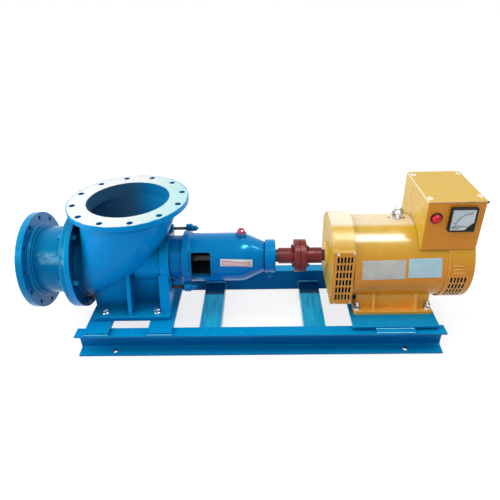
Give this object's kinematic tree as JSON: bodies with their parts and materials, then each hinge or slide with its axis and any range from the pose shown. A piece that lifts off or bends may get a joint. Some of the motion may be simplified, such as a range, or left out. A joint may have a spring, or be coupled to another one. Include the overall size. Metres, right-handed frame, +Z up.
{
  "type": "skid-mounted micro hydroelectric generator set",
  "caption": "Axial-flow elbow water turbine coupled to a brush alternator on a welded channel skid, with flanged inlet and outlet.",
  "frame": {"origin": "on the ground at the middle of the four anchor holes", "axes": "+X along the shaft from the water inlet to the generator, +Y to the back, +Z up"},
  "size_m": [1.641, 0.47, 0.585],
  "materials": {
    "skid_blue": "gloss",
    "turbine_blue": "gloss",
    "generator_yellow": "gloss",
    "bronze": "satin",
    "shaft_steel": "satin",
    "coupling_primer": "satin",
    "black_rubber": "matte",
    "fan_black": "matte",
    "zinc_steel": "satin",
    "lamp_red": "gloss",
    "meter_black": "matte",
    "dial_white": "matte",
    "red_cap": "gloss"
  },
  "bodies": {
    "unit": {"front_beam": "skid_blue", "rear_beam": "skid_blue", "left_tie": "skid_blue", "right_tie": "skid_blue", "left_pad": "skid_blue", "right_pad": "skid_blue", "spacer_bar": "skid_blue", "base_plate": "skid_blue", "bend_casing": "turbine_blue", "runner_chamber": "turbine_blue", "bearing_bracket": "turbine_blue", "bearing_cover": "turbine_blue", "stator_frame": "generator_yellow", "drive_bell": "generator_yellow", "front_grille": "generator_yellow", "rear_grille": "generator_yellow", "bearing_cap": "generator_yellow", "rear_bell": "generator_yellow", "rear_cover": "generator_yellow", "terminal_box": "generator_yellow", "box_lid": "generator_yellow", "packing_gland": "bronze", "oil_cap": "red_cap", "lifting_eye": "zinc_steel", "indicator_lamp": "lamp_red", "meter_frame": "meter_black", "meter_dial": "dial_white"},
    "rotor": {"runner": "bronze", "turbine_shaft": "shaft_steel", "turbine_coupling": "coupling_primer", "coupling_buffer": "black_rubber", "generator_coupling": "coupling_primer", "generator_shaft": "shaft_steel", "cooling_fan": "fan_black"}
  },
  "joints": [
    {"name": "shaft_spin", "type": "hinge", "parent": "unit", "child": "rotor", "pos_m": [0, 0, 0.3], "axis": [1, 0, 0], "continuous": true}
  ]
}
